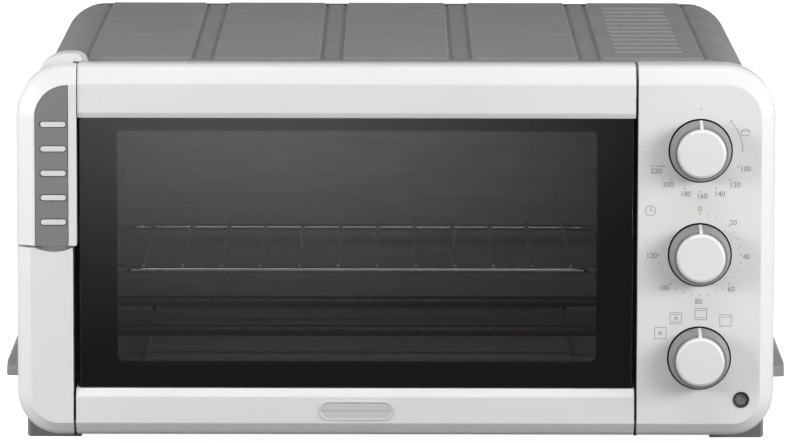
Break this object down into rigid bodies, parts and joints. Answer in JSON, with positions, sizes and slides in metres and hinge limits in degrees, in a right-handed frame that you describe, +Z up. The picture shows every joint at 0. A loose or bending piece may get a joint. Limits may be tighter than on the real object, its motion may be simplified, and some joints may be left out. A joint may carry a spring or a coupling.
{
  "type": "electric countertop oven",
  "caption": "Wide low countertop oven with a drop-down glass door, side grip, knobs on a right-hand panel, wire rack, crumb tray and convection fan.",
  "frame": {"origin": "on the resting plane, centred under the whole oven", "axes": "+X to the right seen from the front, +Y to the back, +Z up"},
  "size_m": [0.4672, 0.39, 0.2296],
  "materials": {
    "white_front": "satin white moulded plastic",
    "white_door": "satin white moulded plastic",
    "name_plate": "plain silver-grey plate",
    "case_paint": "fine textured grey paint",
    "rear_steel": "plain grey paint",
    "plate_steel": "galvanised",
    "cavity_steel": "aluminised sheet",
    "heater_sheath": "oxidised steel sheath",
    "ceramic": "unglazed",
    "grey_plastic": "moulded grey plastic",
    "inset_grey": "moulded mid grey plastic",
    "light_bars": "glossy light grey",
    "knob_skirt": "satin grey",
    "knob_cap": "satin white",
    "shaft_steel": "turned",
    "control_case": "moulded dark",
    "motor_iron": "stamped iron",
    "fan_aluminium": "pressed",
    "window_glass": "smoked glass",
    "black_frame": "black enamel",
    "bush_nylon": "nylon",
    "rack_chrome": "chrome plated wire",
    "tray_steel": "aluminised sheet",
    "pull_plastic": "moulded grey plastic",
    "lamp_bezel": "dark ring",
    "lamp_lens": "cut lens, unlit",
    "lamp_holder": "moulded",
    "screw_steel": "zinc plated"
  },
  "bodies": {
    "oven": {"left_column": "white_front", "control_panel": "white_front", "front_top_rail": "white_front", "front_bottom_rail": "white_front", "outer_case": "case_paint", "rear_panel": "rear_steel", "base_plate": "rear_steel", "front_plate": "plate_steel", "heat_shield": "plate_steel", "hinge_brackets": "plate_steel", "fan_housing": "plate_steel", "cavity_roof": "cavity_steel", "cavity_floor": "cavity_steel", "cavity_left_wall": "cavity_steel", "cavity_right_wall": "cavity_steel", "cavity_back_wall": "cavity_steel", "cavity_rivet": "cavity_steel", "upper_heaters": "heater_sheath", "lower_heaters": "heater_sheath", "heater_insulators": "ceramic", "foot_front_left": "grey_plastic", "foot_front_right": "grey_plastic", "foot_rear_left": "grey_plastic", "foot_rear_right": "grey_plastic", "side_handle_left": "grey_plastic", "side_handle_right": "grey_plastic", "rear_spacers": "grey_plastic", "thermostat_body": "control_case", "timer_body": "control_case", "selector_body": "control_case", "terminal_block": "control_case", "fan_motor": "motor_iron", "cord_gland": "pull_plastic", "pilot_lamp_bezel": "lamp_bezel", "pilot_lamp_lens": "lamp_lens", "pilot_lamp_holder": "lamp_holder", "rear_screws": "screw_steel"},
    "door": {"door_top_bar": "white_door", "door_bottom_bar": "white_door", "door_glass": "window_glass", "door_inner_frame": "black_frame", "door_handle": "white_door", "handle_inset": "inset_grey", "handle_light_bars": "light_bars", "name_plate": "name_plate", "hinge_bushes": "bush_nylon"},
    "rack": {"wire_rack": "rack_chrome"},
    "fan": {"convection_fan": "fan_aluminium"},
    "tray": {"crumb_tray": "tray_steel", "tray_pull": "pull_plastic"},
    "thermostat": {"thermostat_knob": "knob_skirt", "thermostat_cap": "knob_cap", "thermostat_shaft": "shaft_steel"},
    "timer": {"timer_knob": "knob_skirt", "timer_cap": "knob_cap", "timer_shaft": "shaft_steel"},
    "selector": {"selector_knob": "knob_skirt", "selector_cap": "knob_cap", "selector_shaft": "shaft_steel"}
  },
  "joints": [
    {"name": "door_hinge", "type": "hinge", "parent": "oven", "child": "door", "pos_m": [0, -0.167, 0.014], "axis": [1, 0, 0], "range_deg": [0, 90]},
    {"name": "rack_slide", "type": "slide", "parent": "oven", "child": "rack", "axis": [0, -1, 0], "range_m": [0, 0.0896]},
    {"name": "tray_slide", "type": "slide", "parent": "oven", "child": "tray", "axis": [0, 1, 0], "range_m": [0, 0.29]},
    {"name": "fan_spin", "type": "hinge", "parent": "oven", "child": "fan", "pos_m": [0.1415, -0.017, 0.13], "axis": [1, 0, 0], "continuous": true},
    {"name": "thermostat_turn", "type": "hinge", "parent": "oven", "child": "thermostat", "pos_m": [0.1758, -0.177, 0.1752], "axis": [0, 1, 0], "range_deg": [0, 262]},
    {"name": "timer_turn", "type": "hinge", "parent": "oven", "child": "timer", "pos_m": [0.1758, -0.177, 0.1146], "axis": [0, 1, 0], "range_deg": [0, 270]},
    {"name": "selector_turn", "type": "hinge", "parent": "oven", "child": "selector", "pos_m": [0.1758, -0.177, 0.0542], "axis": [0, 1, 0], "range_deg": [-60, 32]}
  ],
  "couplings": [
    {"joint": "rack_slide", "follows": "door_hinge", "m_per_rad": 0.057}
  ]
}
